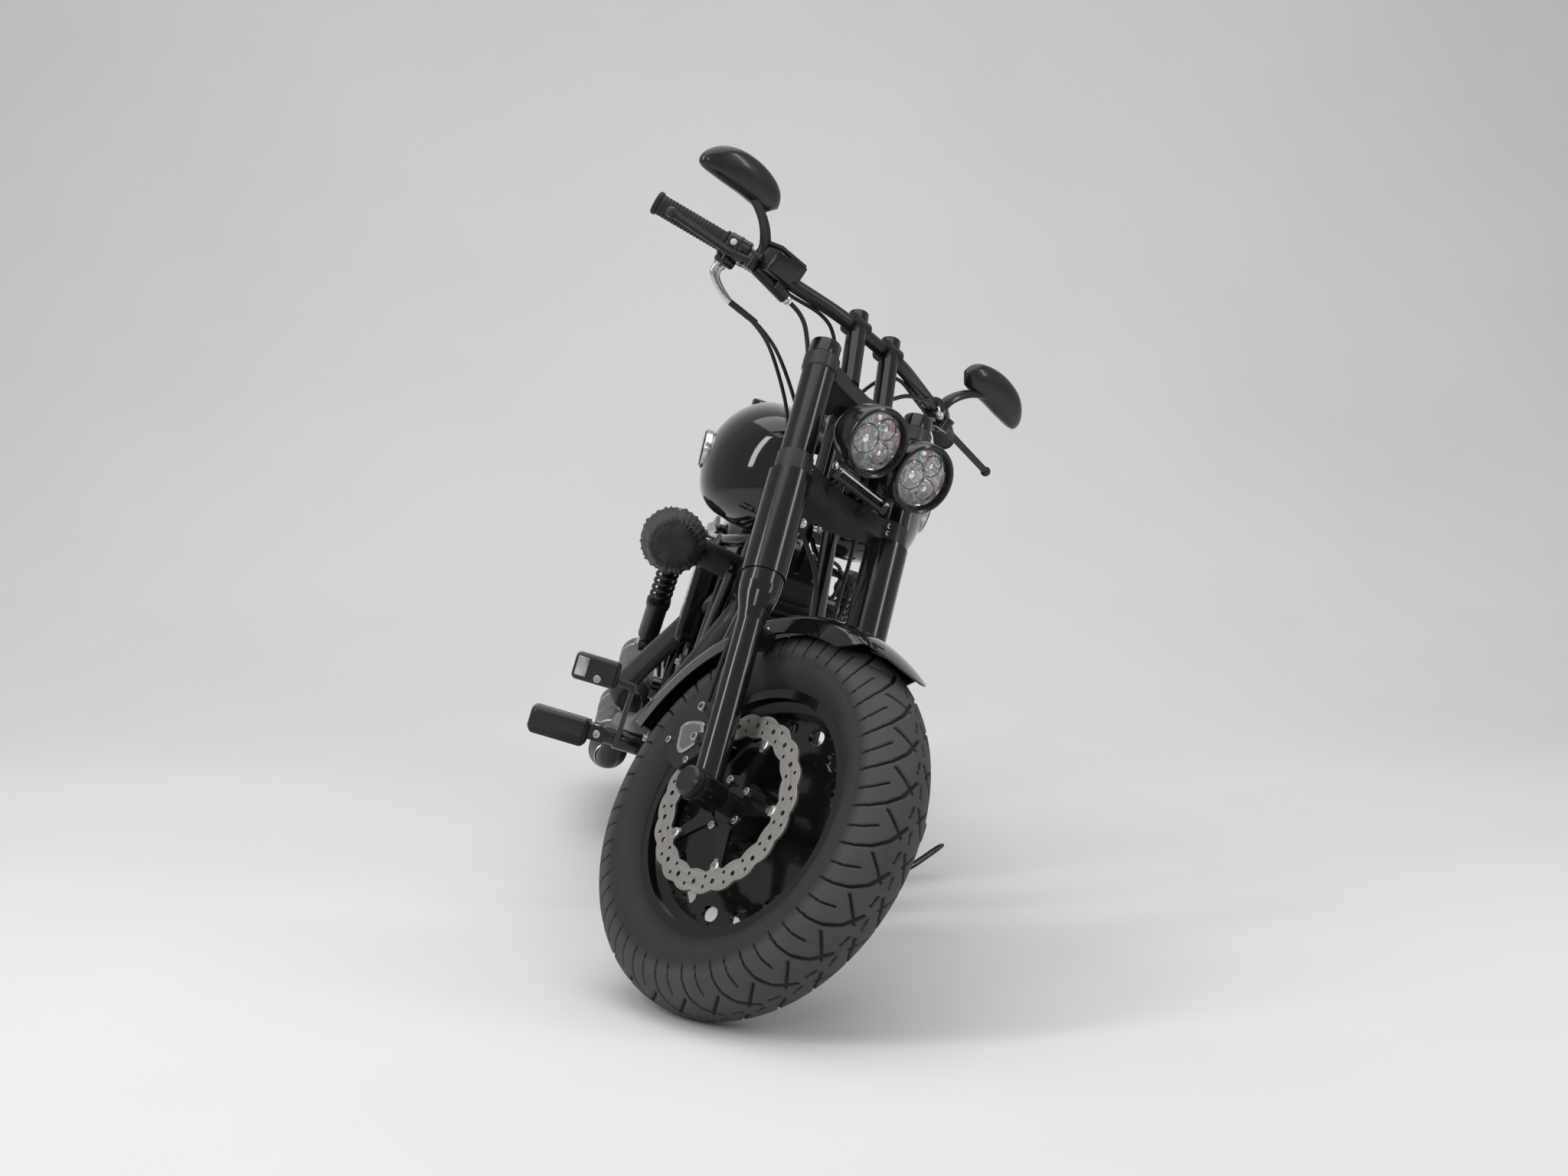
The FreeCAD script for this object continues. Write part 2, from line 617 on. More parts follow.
def calipers():
    """Two-half caliper straddling the rotor, bolted to the leg's rear lugs."""
    low = 88.0
    body = slab([V(-134, 0, 74), V(-104, 0, 52), V(-52, 0, 82), V(-38, 0, 126), V(-56, 0, 152), V(-116, 0, 158),
                 V(-146, 0, 132)], V(0, 54, 0), 11)
    body.translate(V(0, FRONT_DISC_Y - 26, 0))
    slot = block(V(-200, FRONT_DISC_Y - DISC_THICK / 2 - 5, -100), V(0, FRONT_DISC_Y + DISC_THICK / 2 + 5, 400))
    ring_clear = cylinder(V(0, 0, 0), V(0, 200, 0), DISC_R + 5)
    slot = slot.common(ring_clear)
    lug_low = cylinder(V(-46, 97, low + 2), V(-46, LEG_Y + 4, low + 2), 9)
    arm_low = block(V(-46, LEG_Y - 12, low - 7), V(0, LEG_Y + 4, low + 11))
    lug_high = cylinder(V(-48, 97, low + 54), V(-48, LEG_Y + 4, low + 54), 9)
    arm_high = block(V(-48, LEG_Y - 12, low + 45), V(0, LEG_Y + 4, low + 63))
    carrier_space = cylinder(V(0, 40, 0), V(0, FRONT_DISC_Y + 12, 0), DISC_R - 26)
    solid = fuse(body.cut(slot).cut(carrier_space), lug_low, arm_low, lug_high, arm_high)
    return pair(solid)


# Chassis
def frame_tubes():
    """Backbone, head tube, twin down tubes and lower rails, rear uprights, seat rails and cross tubes."""
    head_low = on_fork(-FORK_OFFSET, 0, LOWER_TREE_T + LOWER_TREE_H + 1)
    head_high = on_fork(-FORK_OFFSET, 0, UPPER_TREE_T - 1)
    head = cylinder(head_low, head_high, HEAD_R)
    joint = on_fork(-FORK_OFFSET, 0, 640)
    backbone = pipe([joint, V(1020, 0, 820), V(760, 0, 765), V(610, 0, 700), V(445, 0, 590)], BACKBONE_R, 0.4)
    upright_y = 130.0
    loop = pipe([on_fork(-FORK_OFFSET - 18, 12, 655), on_fork(-FORK_OFFSET - 70, 28, 610), V(1170, 60, 600),
                 V(1086, 122, 190), V(1000, RAIL_Y, RAIL_Z),
                 V(505, RAIL_Y, RAIL_Z), V(445, upright_y, 240), V(445, upright_y, 580)], FRAME_TUBE_R - 2, 0.4)
    seat_rail = pipe([V(610, 0, 692), V(445, 100, 640), V(250, 124, REAR_TOP_Z - 36),
                      V(120, 126, REAR_TOP_Z - 22)], 13, 0.4)
    upright_tip = cylinder(V(445, upright_y, 570), V(400, 108, 640), 13)
    front_cross = cylinder(V(1076, -118, 214), V(1076, 118, 214), 14)
    rear_cross = cylinder(V(445, -upright_y, 580), V(445, upright_y, 580), 13)
    pivot_plate = slab([V(470, 0, 180), V(430, 0, 170), V(372, 0, 270), V(372, 0, 330), V(430, 0, 380), V(470, 0, 370)],
                       V(0, 8, 0), 12)
    pivot_plate.translate(V(0, 114.5, 0))
    pivot_shaft = cylinder(V(SWINGARM_PIVOT_X, -162, SWINGARM_PIVOT_Z), V(SWINGARM_PIVOT_X, 162, SWINGARM_PIVOT_Z), 11)
    shock_stud = cylinder(V(200, 118, SHOCK_TOP_Z), V(200, SHOCK_Y + 16, SHOCK_TOP_Z), 9)
    tank_stud = cylinder(V(1000, -TUNNEL_HALF, 817), V(1000, TUNNEL_HALF, 817), 9)
    mount_z = ENGINE_FLOOR_Z - SEAT_GAP - 12
    engine_mounts = [cylinder(V(x, -RAIL_Y, mount_z), V(x, RAIL_Y, mount_z), 12) for x in (520, 930)]
    strap = block(V(1108, -97, 324), V(1112, 97, 356))
    gusset = slab([V(1232, 0, 800), V(1080, 0, 840), V(1186, 0, 660)], V(0, 10, 0), 8)
    gusset.translate(V(0, -5, 0))
    left = fuse(loop, seat_rail, upright_tip, pivot_plate, shock_stud)
    stem_hole = cylinder(on_fork(-FORK_OFFSET, 0, 500), on_fork(-FORK_OFFSET, 0, 900), STEM_R + RUNNING_FIT)
    lug_low = block(STAND_PIVOT + V(-18, -44, -19), STAND_PIVOT + V(18, 14, -10.4))
    lug_high = block(STAND_PIVOT + V(-18, -44, 10.4), STAND_PIVOT + V(18, 14, 19))
    pin = cylinder(STAND_PIVOT - V(0, 0, 24), STAND_PIVOT + V(0, 0, 24), STAND_PIN_R)
    solid = fuse(head, backbone, left, mirrored(left), front_cross, rear_cross, pivot_shaft, gusset,
                 lug_low, lug_high, pin, tank_stud, strap, *engine_mounts)
    return solid.cut(stem_hole)


def swingarm():
    """Two straight arms from the pivot to the axle plates, joined by a cross tube inside the belt."""
    pivot = V(SWINGARM_PIVOT_X, SWINGARM_Y, SWINGARM_PIVOT_Z)
    arm = cylinder(pivot, V(60, SWINGARM_Y, REAR_AXLE_Z), 18)
    eye = cylinder(pivot - LEFT * 19, pivot + LEFT * 19, 24)
    plate = slab([V(96, 0, REAR_AXLE_Z - 22), V(96, 0, REAR_AXLE_Z + 22), V(-44, 0, REAR_AXLE_Z + 26),
                  V(-44, 0, REAR_AXLE_Z - 26)], V(0, 14, 0), 10)
    plate.translate(V(0, SWINGARM_Y - 7, 0))
    stud = cylinder(V(40, SWINGARM_Y, REAR_AXLE_Z + 8), V(40, SHOCK_Y + 16, REAR_AXLE_Z + 8), 8)
    cross = cylinder(V(355, -SWINGARM_Y, 304), V(355, SWINGARM_Y, 304), 16)
    axle_hole = cylinder(REAR_AXLE - LEFT * 200, REAR_AXLE + LEFT * 200, AXLE_R)
    shaft_hole = cylinder(pivot - LEFT * 400, pivot + LEFT * 30, 11)
    left = fuse(arm, eye, plate, stud)
    return fuse(left, mirrored(left), cross).cut(axle_hole).cut(shaft_hole)


def rear_axle():
    end = SWINGARM_Y + 20
    rod = cylinder(REAR_AXLE - LEFT * end, REAR_AXLE + LEFT * end, AXLE_R)
    nut = cylinder(REAR_AXLE + LEFT * (SWINGARM_Y + 7), REAR_AXLE + LEFT * end, 20)
    spacer = ring(REAR_AXLE + LEFT * 113.4, REAR_AXLE + LEFT * (SWINGARM_Y - 7), 18, AXLE_R)
    return fuse(rod, nut, mirrored(nut), spacer, mirrored(spacer))


def shock():
    """Damper with a coil: eye, body, spring as a stack of round turns, and the top cover."""
    low = V(40, SHOCK_Y, REAR_AXLE_Z + 8)
    high = V(200, SHOCK_Y, SHOCK_TOP_Z)
    length = (high - low).Length
    turns = 9
    spring_low = 130.0
    spring_high = length - 34
    pitch = (spring_high - spring_low) / turns
    points = [V(0, 0, 24), V(22, 0, 24), V(22, 0, 118), V(25, 0, 122), V(25, 0, spring_low)]
    edges = [Part.makeLine(a, b) for a, b in zip(points, points[1:])]
    here = points[-1]
    for turn in range(turns):
        up = here + V(0, 0, pitch)
        belly = here + V(-7, 0, pitch / 2)
        edges.append(Part.Arc(here, belly, up).toShape())
        here = up
    tail = [here, V(25, 0, spring_high + 8), V(0, 0, spring_high + 8), V(0, 0, 24)]
    edges += [Part.makeLine(a, b) for a, b in zip(tail, tail[1:])]
    body = revolved(Part.Wire(edges), V(0, 0, 0), UP)
    neck_low = cylinder(V(0, 0, 8), V(0, 0, 26), 10)
    neck_high = cylinder(V(0, 0, spring_high + 6), V(0, 0, length - 8), 10)
    eye_low = cylinder(V(0, -13, 0), V(0, 13, 0), 16)
    eye_high = cylinder(V(0, -13, length), V(0, 13, length), 16)
    solid = fuse(body, neck_low, neck_high, eye_low, eye_high)
    solid = solid.cut(cylinder(V(0, -20, 0), V(0, 20, 0), 8))
    solid = solid.cut(cylinder(V(0, -20, length), V(0, 20, length), 9))
    tilt = FreeCAD.Rotation(UP, high - low)
    solid.Placement = FreeCAD.Placement(low, tilt)
    return solid


# Engine
def crankcase():
    case = cylinder(CRANK - LEFT * 88, CRANK + LEFT * 88, 138)
    nose = slab([V(CRANK_X - 60, 0, ENGINE_FLOOR_Z), V(CRANK_X + 190, 0, ENGINE_FLOOR_Z), V(CRANK_X + 214, 0, 260), V(CRANK_X + 170, 0, 380),
                 V(CRANK_X + 60, 0, 440), V(CRANK_X - 100, 0, 440)], V(0, 160, 0), 14)
    nose.translate(V(0, -80, 0))
    cam = slab([V(CRANK_X - 120, 0, 262), V(CRANK_X - 20, 0, 206), V(CRANK_X + 110, 0, 240), V(CRANK_X + 130, 0, 330),
                V(CRANK_X + 60, 0, 430), V(CRANK_X - 90, 0, 420)], V(0, -46, 0), 26)
    cam.translate(V(0, -87, 0))
    return fuse(case, nose, cam)


def gearbox():
    """Gearbox case with its right cover and the belt sprocket on the left end of the main shaft."""
    rear = SWINGARM_PIVOT_X + 72
    body = slab([V(rear, 0, ENGINE_FLOOR_Z), V(CRANK_X - 100, 0, ENGINE_FLOOR_Z), V(CRANK_X - 100, 0, 420), V(rear + 24, 0, 440),
                 V(rear, 0, 400)], V(0, 176, 0), 22)
    body.translate(V(0, -88, 0))
    cover = slab([V(rear + 20, 0, 240), V(CRANK_X - 138, 0, 240), V(CRANK_X - 138, 0, 390), V(rear + 20, 0, 390)],
                 V(0, -26, 0), 20)
    cover.translate(V(0, -87, 0))
    hub = V(SPROCKET_X, 80, REAR_AXLE_Z)
    sprocket = cylinder(V(SPROCKET_X, BELT_Y - 10, REAR_AXLE_Z), V(SPROCKET_X, BELT_Y + 10, REAR_AXLE_Z), SPROCKET_R)
    return fuse(body, cover, cylinder(hub, hub + LEFT * 30, 20), sprocket)


def primary_cover():
    """Long oval case over the primary drive, with its round clutch cover, on the left side."""
    low_y = 89.0
    deep = 70.0
    front = V(CRANK_X + 20, low_y, CRANK_Z)
    rear = V(SWINGARM_PIVOT_X + 178, low_y, CRANK_Z - 10)
    big = cylinder(rear, rear + LEFT * deep, 106)
    small = cylinder(front, front + LEFT * deep, 92)
    bridge = extruded([rear + V(0, 0, 106), front + V(0, 0, 92), front - V(0, 0, 92), rear - V(0, 0, 106)],
                      V(0, deep, 0))
    solid = fuse(big, small, bridge)
    derby = cylinder(rear + LEFT * (deep - 1), rear + LEFT * (deep + 10), 62)
    rim_edges = [edge for edge in solid.Edges if edge.BoundBox.YMin > low_y + deep - 0.5]
    solid = fuse(solid.makeFillet(10, rim_edges), derby)
    space = belt_outline(9, BELT_Y - 40, 40 + BELT_WIDTH / 2 + 3)
    return solid.cut(space)


def finned_cylinder(tilt):
    """Barrel with round-cornered cooling fins, finned head and rocker cover, drawn along its own axis."""
    def fin(height, wide, deep, thick, corner):
        low = V(-deep, -wide, height)
        plate = block(low, V(deep, wide, height + thick))
        corners = [edge for edge in plate.Edges if abs(edge.tangentAt(edge.FirstParameter).z) > 0.9]
        return plate.makeFillet(corner, corners)

    pieces = [cylinder(V(0, 0, 112), V(0, 0, 300), BARREL_R)]
    pitch = 14.0
    for number in range(FIN_COUNT):
        pieces.append(fin(134 + pitch * number, FIN_R, FIN_R - 6, 4.5, 30))
    head_low = 134 + pitch * FIN_COUNT
    pieces.append(fin(head_low, 66, 60, 56, 20))
    for number in range(3):
        pieces.append(fin(head_low + 4 + 17 * number, FIN_R - 4, FIN_R - 10, 5, 24))
    cover_low = head_low + 56
    cover = fin(cover_low, 72, 52, 46, 18)
    top = [edge for edge in cover.Edges if edge.BoundBox.ZMin > cover_low + 45.9]
    pieces.append(cover.makeFillet(8, top))
    solid = fuse(*pieces)
    solid.rotate(V(0, 0, 0), LEFT, tilt)
    solid.translate(CRANK)
    return solid


def pushrods():
    tubes = []
    for tilt in (CYLINDER_TILT, -CYLINDER_TILT):
        for shift in (-16, 16):
            tube = cylinder(V(shift, -104, 96), V(shift, -92, 322), 9)
            tube.rotate(V(0, 0, 0), LEFT, tilt)
            tube.translate(CRANK)
            tubes.append(tube)
    return tubes


def intake():
    """Manifold between the two heads, and the elbow that turns forward to the cone filter."""
    manifold = cylinder(V(CRANK_X - 65, 0, 600), V(CRANK_X + 65, 0, 600), 20)
    elbow = pipe([V(CRANK_X, 0, 604), V(752, -212, FILTER_Z), V(FILTER_BACK_X + 26, -212, FILTER_Z)], ELBOW_R, 0.45)
    return fuse(manifold, elbow)


def air_filter():
    back = V(FILTER_BACK_X, -212, FILTER_Z)
    front = back + V(112, 0, 0)
    solid = cone(back, front, 62, 44)
    ends = [edge for edge in solid.Edges if len(edge.Vertexes) == 1]
    return solid.makeFillet(8, ends).cut(cylinder(back, back + V(26, 0, 0), ELBOW_R))


def exhaust(radius):
    """Front and rear header pipes, dropping beside the engine and sweeping back to the mufflers."""
    front_header = pipe([V(905, -56, 560), V(978, -62, 562), V(955, -118, 415), V(880, -166, 290), V(400, -196, 214),
                         V(352, -203, 122), V(309, -205, 118)], radius, 0.4)
    rear_header = pipe([V(640, -20, 582), V(578, -48, 576), V(585, -104, 518), V(500, -150, 424), V(400, -200, 322),
                        V(352, -224, 262), V(299, -190, 240)], radius, 0.4)
    return Part.makeCompound([front_header, rear_header])


def muffler(start, end):
    run = (end - start).normalize()
    neck = cone(start, start + run * 70, PIPE_R + 2, MUFFLER_R)
    body = cylinder(start + run * 70, end, MUFFLER_R)
    solid = fuse(neck, body)
    return solid.cut(cylinder(end - run * 60, end + run * 5, MUFFLER_R - 8))


def mufflers():
    upper = muffler(V(300, -190, 240), V(-330, -190, 262))
    lower = muffler(V(310, -205, 118), V(-330, -205, 134))
    return Part.makeCompound([upper, lower])


# Bodywork
def tank_section(x, half, low, high):
    """A cross-section with full shoulders and tucked-in lower edges."""
    tall = high - low
    side = [(0.0, 0.94), (0.30, 0.985), (0.62, 0.97), (0.90, 0.76), (1.0, 0.42), (0.90, 0.13), (0.60, 0.015),
            (0.0, 0.0)]
    points = [V(x, half * share, low + tall * up) for share, up in side]
    points += [V(x, -half * share, low + tall * up) for share, up in reversed(side[1:-1])]
    return smooth_wire(points)


def fuel_tank():
    stations = [
        (1150, 70, 790, 884),
        (1122, 140, 748, 920),
        (1050, 192, 716, 940),
        (950, 206, 708, 947),
        (820, 176, 712, 930),
        (720, 128, 728, 888),
        (664, 84, 745, 846),
    ]
    body = loft([tank_section(*station) for station in stations])
    tunnel = block(V(600, -60, 600), V(1300, 60, 800)).fuse(block(V(600, -TUNNEL_HALF, 700), V(1300, TUNNEL_HALF, 880)))
    return body.cut(tunnel)


def tank_trim():
    """Centre console with the two filler caps beside it."""
    sections = []
    for x, half, low, high in ((1100, 12, 905, 932), (1040, 34, 925, 956), (900, 40, 925, 962), (760, 26, 895, 930)):
        sections.append(tank_section(x, half, low, high))
    return loft(sections)


def filler_caps():
    cap = cylinder(V(860, 118, 905), V(860, 118, 941), 30)
    top = [edge for edge in cap.Edges if edge.BoundBox.ZMin > 940]
    return pair(cap.makeFillet(5, top))


def seat():
    """Stepped saddle: a nose against the tank, a broad dish, and the raised pad behind it."""
    over = REAR_TOP_Z
    stations = [
        (640, 60, 742, 775),
        (560, 105, 722, 765),
        (460, 140, over + 42, over + 84),
        (360, 150, over + 32, over + 70),
        (260, 138, over + 34, over + 87),
        (170, 112, over + 42, over + 120),
        (80, 98, over + 50, over + 124),
        (0, 88, over + 54, over + 118),
        (-70, 70, over + 56, over + 94),
    ]
    return loft([tank_section(*station) for station in stations])


def rear_fender():
    return arch(REAR_AXLE, REAR_TYRE_R + 26, 108, 60, 3, 28, 172)


def fender_struts():
    """Rails outside the rear fender, with the bosses that it is bolted to."""
    strut = slab([V(150, 0, -46), V(150, 0, -12), V(60, 0, 4), V(-130, 0, -30), V(-196, 0, -74), V(-180, 0, -90),
                  V(-110, 0, -56), V(60, 0, -24)], V(0, 9, 0), 6)
    strut.translate(V(0, 112, 0))
    bosses = [cylinder(V(x, 96, z), V(x, 113, z), 9) for x, z in ((96, -18), (-60, -30), (-160, -68))]
    rail = fuse(strut, *bosses)
    rail.translate(V(0, 0, REAR_TOP_Z))
    return pair(rail)


def tail_lamp():
    turn = math.radians(150)
    seat = REAR_AXLE + V(math.cos(turn), 0, math.sin(turn)) * (REAR_TYRE_R + 34)
    body = block(seat + V(-44, -48, -6), seat + V(6, 48, 34))
    return body.makeFillet(8, body.Edges)


def side_covers():
    """Oil tank on the left and electrics cover on the right, either side of the battery."""
    cover = block(V(445 + FRAME_TUBE_R - 2 + SEAT_GAP, 101, 430), V(600, 150, 596))
    return pair(cover.makeFillet(12, cover.Edges))



def battery_box():
    return block(V(436, -98, 446), V(560, 98, 580 - 13 - SEAT_GAP))


def regulator():
    """Finned regulator between the down tubes."""
    base = block(V(1112, -46, 300), V(1124, 46, 380))
    fins = [block(V(1123, -44, 306 + 12 * n), V(1148, 44, 311 + 12 * n)) for n in range(6)]
    return fuse(base, *fins)



# Controls
def foot_controls():
    """Forward control stand: bracket on the down tube, stub, folding peg, pedal arm and pad."""
    bracket = slab([V(1100, 0, 230), V(1100, 0, 320), V(1010, 0, 310), V(1010, 0, 200)], V(0, 14, 0), 10)
    bracket.translate(V(0, 146, 0))
    stub = cylinder(V(1050, 159, 285), V(1050, 236, 285), 15)
    clevis = block(V(1034, 234, 271), V(1066, 262, 299))
    peg = block(V(1026, 262, 256), V(1076, 372, 304))
    peg = peg.makeFillet(12, peg.Edges)
    arm = slab([V(1040, 0, 262), V(1062, 0, 270), V(1166, 0, 392), V(1148, 0, 404), V(1046, 0, 300)], V(0, 9, 0), 5)
    arm.translate(V(0, 206, 0))
    pad = block(V(1140, 240, 384), V(1172, 322, 432))
    pad = pad.makeFillet(9, pad.Edges)
    link = cylinder(V(1158, 208, 398), V(1158, 245, 400), 7)
    foot = cylinder(V(1082, 118, 236), V(1082, 147, 236), 14)
    pedal_side = fuse(bracket, stub, clevis, peg, foot)
    pedal = fuse(arm, pad, link).cut(cylinder(V(1050, 150, 285), V(1050, 250, 285), 15))
    toe = cylinder(V(1158, 214, 396), V(1158, 280, 396), 11)
    shift = fuse(arm, toe).cut(cylinder(V(1050, 150, 285), V(1050, 250, 285), 15))
    return {
        "foot_controls": pair(pedal_side),
        "brake_pedal": mirrored(pedal),
        "shift_lever": shift,
    }


def rear_caliper():
    place = REAR_AXLE + V(112, 0, 74)
    body = block(place + V(-40, -REAR_DISC_Y - 26, -30), place + V(40, -REAR_DISC_Y + 26, 34))
    body = body.makeFillet(8, [edge for edge in body.Edges if abs(edge.tangentAt(edge.FirstParameter).y) > 0.9])
    slot = cylinder(REAR_AXLE - LEFT * (REAR_DISC_Y + DISC_THICK / 2 + 5),
                    REAR_AXLE - LEFT * (REAR_DISC_Y - DISC_THICK / 2 - 5), DISC_R + 6)
    carrier_space = cylinder(REAR_AXLE - LEFT * (REAR_DISC_Y + 1), REAR_AXLE - LEFT * 40, DISC_R - 26)
    foot = block(V(70, -SWINGARM_Y - 4, REAR_AXLE_Z + 10), V(110, -REAR_DISC_Y - 10, REAR_AXLE_Z + 50))
    return fuse(body, foot).cut(slot).cut(carrier_space)


def belt_outline(extra, low_y, width):
    """The belt loop as a filled plate, grown outward by extra from the pulley and sprocket faces."""
    rear_r = PULLEY_R + MOVING_GAP + extra
    front_r = SPROCKET_R + MOVING_GAP + extra
    lean = math.acos((rear_r - front_r) / SPROCKET_X)

    def at(centre_x, radius, angle):
        return V(centre_x + radius * math.cos(angle), low_y, REAR_AXLE_Z + radius * math.sin(angle))

    wire = Part.Wire([
        Part.Arc(at(0, rear_r, lean), at(0, rear_r, math.pi), at(0, rear_r, -lean)).toShape(),
        Part.makeLine(at(0, rear_r, -lean), at(SPROCKET_X, front_r, -lean)),
        Part.Arc(at(SPROCKET_X, front_r, -lean), at(SPROCKET_X, front_r, 0), at(SPROCKET_X, front_r, lean)).toShape(),
        Part.makeLine(at(SPROCKET_X, front_r, lean), at(0, rear_r, lean)),
    ])
    return Part.Face(wire).extrude(V(0, width, 0))


def belt():
    """Final belt round the rear pulley and the gearbox sprocket."""
    low_y = BELT_Y - BELT_WIDTH / 2
    return belt_outline(6, low_y, BELT_WIDTH).cut(belt_outline(0, low_y, BELT_WIDTH))


# Side stand
def side_stand(body_pose):
    """Leg from the pivot eye to the flat foot on the ground, with the loop that the rider kicks."""
    ground = body_pose.multVec(STAND_FOOT)
    ground.z = 0
    back = body_pose.inverse()
    pad = block(ground + V(-26, -20, 0), ground + V(26, 26, 7))
    pad = pad.makeFillet(6, [edge for edge in pad.Edges if abs(edge.tangentAt(edge.FirstParameter).z) > 0.9])
    loop = pipe([ground + V(12, 10, 6), ground + V(-30, 56, 16), ground + V(-52, 50, 16), ground + V(-14, 4, 6)],
                3.5, 0.4)
    ankle = ground + V(0, 0, 12)
    shoe = fuse(pad, loop)
    shoe.Placement = back.multiply(shoe.Placement)
    ankle = back.multVec(ankle)
    eye = cylinder(STAND_PIVOT - V(0, 0, 10), STAND_PIVOT + V(0, 0, 10), 17)
    start = STAND_PIVOT + V(2, 12, 0)
    leg = pipe([start, start + V(4, 44, 0), start + (ankle - start) * 0.6 + V(8, 0, 14), ankle], 10, 0.4)
    hole = cylinder(STAND_PIVOT - V(0, 0, 20), STAND_PIVOT + V(0, 0, 20), STAND_PIN_R + RUNNING_FIT)
    return fuse(eye, leg, shoe).cut(hole)


# Cables and hoses, each along the route that the machine's own cable takes
def cables():
    """Throttle pair and clutch cable: their upper ends are placed on the bars as parked, full left."""
    steer = steer_placement()
    throttle = []
    for shift in (0, 12):
        top = V(THROTTLE_TOP.x, -THROTTLE_TOP.y + shift, THROTTLE_TOP.z)
        bars = [top, V(1057, -284 + shift, 1026), V(1074, -246 + shift, 1007), V(1112, -200 + shift, 1000),
                V(1140, -150 + shift, 975)]
        down = [V(1180, -92 + shift * 0.7, 945), V(1180, -88 + shift * 0.7, 900), V(1168, -80 + shift * 0.7, 800),
                V(1130, -70 + shift * 0.7, 700), V(1040, -62 + shift * 0.7, 697), V(940, -54 + shift * 0.7, 697),
                V(860, -50 + shift * 0.7, 697), V(800, -48 + shift * 0.7, 676), V(782, -48 + shift * 0.7, 640)]
        throttle.append(pipe([steer.multVec(point) for point in bars] + down, 3.5))
    bars = [CLUTCH_TOP, V(1142, 180, 1080), V(1157, 116, 1056), V(1168, 68, 985)]
    down = [V(1178, 66, 870), V(1156, 84, 760), V(1134, 92, 610), V(1112, 108, 450), V(1070, 122, 330),
            V(990, 126, 276), V(930, 124, 276), V(872, 124, 292)]
    clutch = pipe([steer.multVec(point) for point in bars] + down, 4)
    return {"throttle_cables": Part.makeCompound(throttle), "clutch_cable": clutch}


def brake_hose():
    """Front hose from the master cylinder, behind the yokes to a splitter, then down to each caliper."""
    splitter = on_fork(-64, -22, LOWER_TREE_T - 26)
    main_run = pipe([V(MASTER_END.x, -MASTER_END.y, MASTER_END.z), V(1140, -136, 1056), V(1158, -108, 1020), on_fork(-46, -97, UPPER_TREE_T - 20),
                     on_fork(-46, -97, LOWER_TREE_T + 30), on_fork(-60, -60, LOWER_TREE_T - 20), splitter], 4)
    end = V(-100, -FRONT_DISC_Y - 8, 158)
    right = pipe([splitter, on_fork(-70, -66, 430), on_fork(-84, -86, 300), on_fork(end.x, end.y, end.z)], 4)
    left = pipe([splitter, on_fork(-70, 60, 470), on_fork(-84, 86, 300), on_fork(end.x, -end.y, end.z)], 4)
    block_body = Part.makeSphere(13, splitter)
    return fuse(main_run, right, left, block_body)


# Pose: steer about the raked axis, lean to the left, then rest both tyres on the ground
def steer_placement():
    """The turn to the left stop, about the raked steering axis."""
    head = on_fork(-FORK_OFFSET, 0, 0)
    steer_axis = on_fork(0, 0, 1) - on_fork(0, 0, 0)
    return FreeCAD.Placement(V(0, 0, 0), FreeCAD.Rotation(steer_axis, STEER_STOP), head)


def stand_pose():
    steer = steer_placement()
    lean = FreeCAD.Rotation(FORWARD, -LEAN)
    front_reach = FRONT_TYRE_R - FRONT_TYRE_CROWN_R
    rear_reach = REAR_TYRE_R - REAR_TYRE_CROWN_R
    pitch = 0.0
    for _ in range(40):
        tip = FreeCAD.Rotation(LEFT, pitch)
        turn = lean.multiply(tip)
        front = turn.multVec(steer.multVec(FRONT_AXLE))
        rear = turn.multVec(REAR_AXLE)
        front_way = turn.multVec(steer.Rotation.multVec(LEFT))
        rear_way = turn.multVec(LEFT)
        front_low = front.z - front_reach * math.sqrt(1 - front_way.z ** 2) - FRONT_TYRE_CROWN_R
        rear_low = rear.z - rear_reach * math.sqrt(1 - rear_way.z ** 2) - REAR_TYRE_CROWN_R
        pitch += math.degrees((front_low - rear_low) / WHEELBASE)
    body = FreeCAD.Placement(V(0, 0, -rear_low), turn)
    return body, body.multiply(steer)


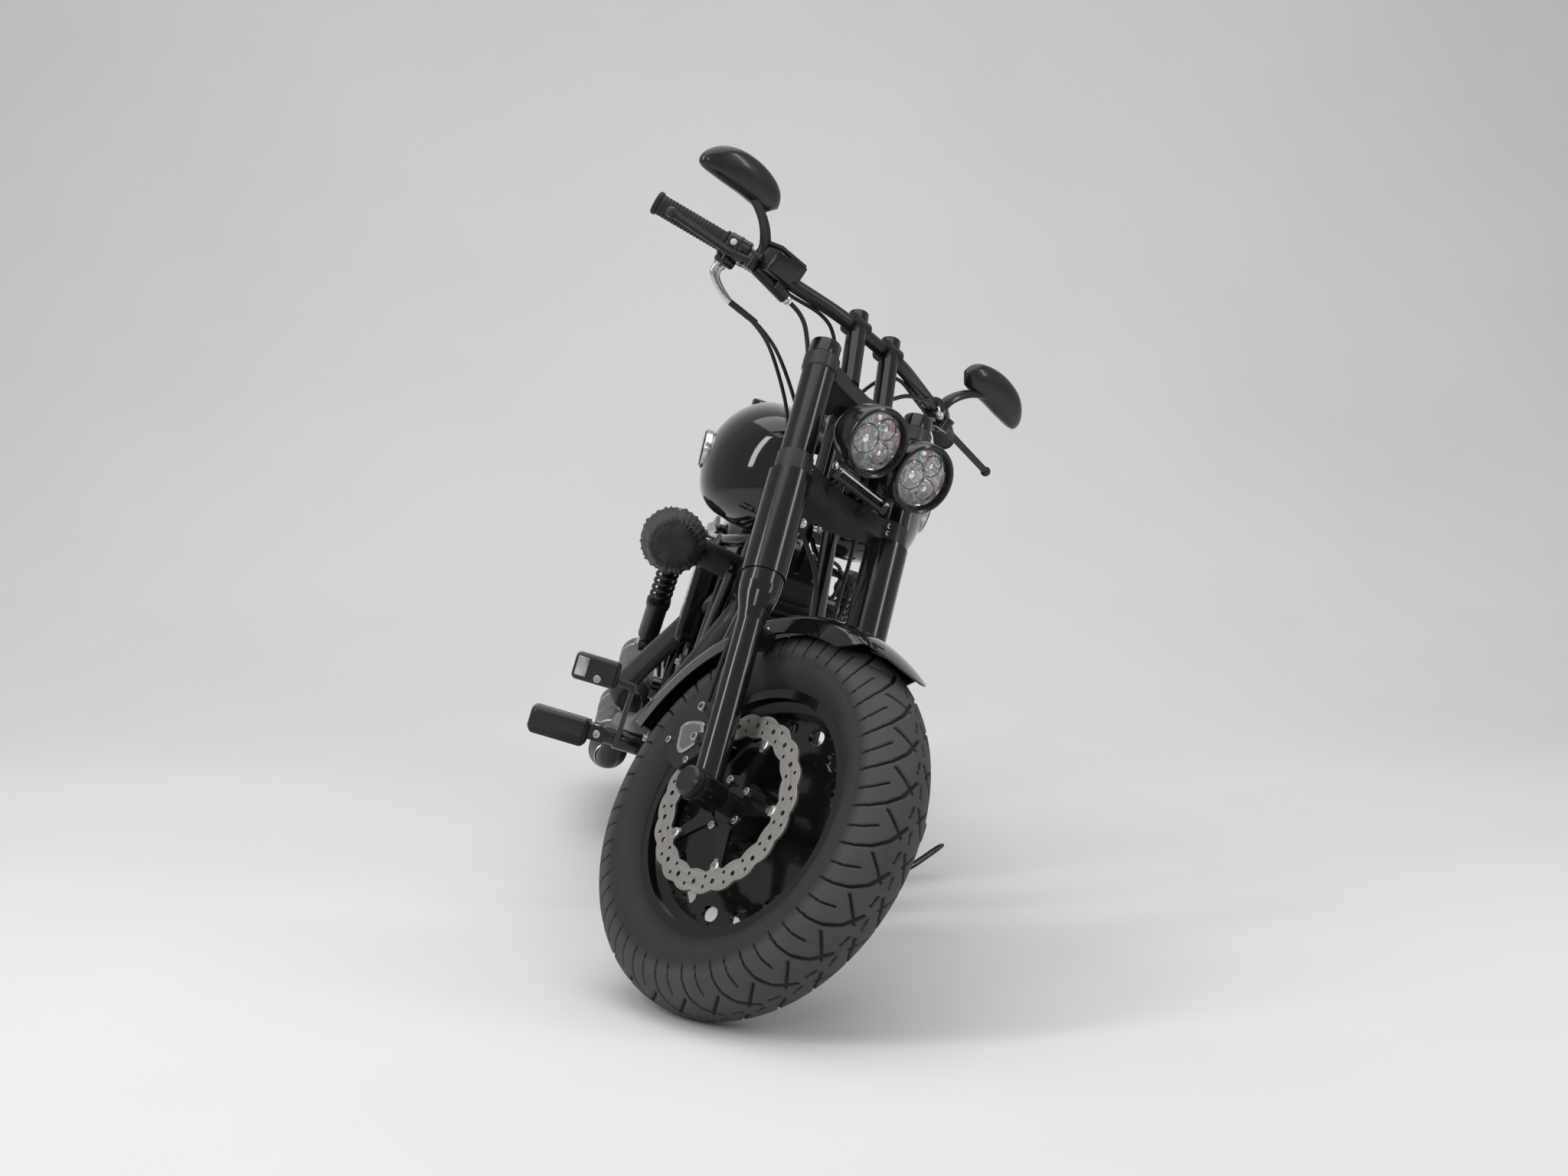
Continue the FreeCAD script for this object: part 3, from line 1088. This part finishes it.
def build():
    """Every piece by body, still upright, with the placements that steer and lean the machine."""
    body_pose, steer_pose = stand_pose()
    steering = {}
    for name, shape in fork_legs().items():
        steering[name] = place_on_fork(shape)
    for name, shape in trees().items():
        steering[name] = place_on_fork(shape)
    steering["front_axle"] = front_axle()
    steering["front_fender"] = front_fender().cut(steering["fork_sliders"])
    steering.update(headlamps())
    steering["lamp_bracket"] = lamp_bracket()
    steering["handlebar"] = handlebar()
    steering["risers"] = risers().cut(steering["handlebar"])
    steering["grips"] = grips().cut(steering["handlebar"])
    steering["bar_controls"] = bar_controls().cut(steering["handlebar"])
    steering["levers"] = levers().cut(steering["bar_controls"])
    steering["mirrors"] = pair(mirror(1)).cut(steering["bar_controls"])
    steering["front_calipers"] = place_on_fork(calipers()).cut(steering["fork_sliders"])
    steering["front_brake_hose"] = cut(brake_hose(), steering["front_calipers"], steering["bar_controls"])
    steering["lamp_bracket"] = cut(steering["lamp_bracket"], steering["headlamp_shells"], steering["lower_tree"])

    cases = fuse(crankcase(), gearbox())
    cylinders = fuse(finned_cylinder(CYLINDER_TILT), finned_cylinder(-CYLINDER_TILT)).cut(cases)
    chassis = {
        "frame_tubes": frame_tubes(),
        "swingarm": swingarm(),
        "rear_axle": rear_axle(),
        "shocks": pair(shock()),
        "engine_cases": cases,
        "primary_cover": primary_cover().cut(cases),
        "cylinders": cylinders,
        "pushrod_tubes": cut(Part.makeCompound(pushrods()), cases, cylinders),
        "fuel_tank": fuel_tank(),
        "seat": seat(),
        "rear_fender": rear_fender(),
        "fender_struts": fender_struts(),
        "side_covers": side_covers(),
        "battery_box": battery_box(),
        "regulator": regulator(),
        "drive_belt": belt(),
        "mufflers": mufflers(),
    }
    heat_space = exhaust(PIPE_R + 5)
    chassis["side_covers"] = chassis["side_covers"].cut(heat_space)
    chassis["battery_box"] = chassis["battery_box"].cut(heat_space)
    chassis["fender_struts"] = cut(chassis["fender_struts"], chassis["frame_tubes"], chassis["rear_fender"])
    chassis["intake_elbow"] = intake().cut(cylinders)
    chassis["air_filter"] = air_filter()
    chassis["tank_console"] = tank_trim().cut(chassis["fuel_tank"])
    chassis["filler_caps"] = filler_caps().cut(chassis["fuel_tank"])
    chassis["tail_lamp"] = tail_lamp().cut(chassis["rear_fender"])
    chassis["rear_caliper"] = rear_caliper().cut(chassis["swingarm"])
    chassis["exhaust_pipes"] = cut(exhaust(PIPE_R), cylinders, cases, chassis["mufflers"])
    chassis.update(foot_controls())
    chassis["foot_controls"] = chassis["foot_controls"].cut(chassis["frame_tubes"])
    wires = cables()
    chassis["throttle_cables"] = wires["throttle_cables"].cut(chassis["intake_elbow"])
    chassis["clutch_cable"] = wires["clutch_cable"].cut(chassis["primary_cover"])
    stand = {"side_stand": side_stand(body_pose)}
    return steering, chassis, front_wheel(), rear_wheel(), stand, body_pose, steer_pose


def parked_pieces():
    """Each piece in the parked pose, shifted so that the origin is the bottom centre of the whole."""
    steering, chassis, front, rear, stand, body_pose, steer_pose = build()
    placed = {}
    for group, pose in ((steering, steer_pose), (front, steer_pose), (chassis, body_pose), (rear, body_pose),
                        (stand, body_pose)):
        for name, shape in group.items():
            moved = shape.copy()
            moved.Placement = pose.multiply(moved.Placement)
            placed[name] = moved
    shift = frame_shift(placed)
    for shape in placed.values():
        shape.translate(shift)
    return placed


def frame_shift(placed):
    box = FreeCAD.BoundBox()
    for shape in placed.values():
        box.add(shape.optimalBoundingBox(False, False))
    return V(-round(box.Center.x), -round(box.Center.y), 0)


def main():
    os.makedirs("parts", exist_ok=True)
    for name, shape in parked_pieces().items():
        shape.exportStep("parts/" + name + ".step")


if __name__ == "__main__":
    main()
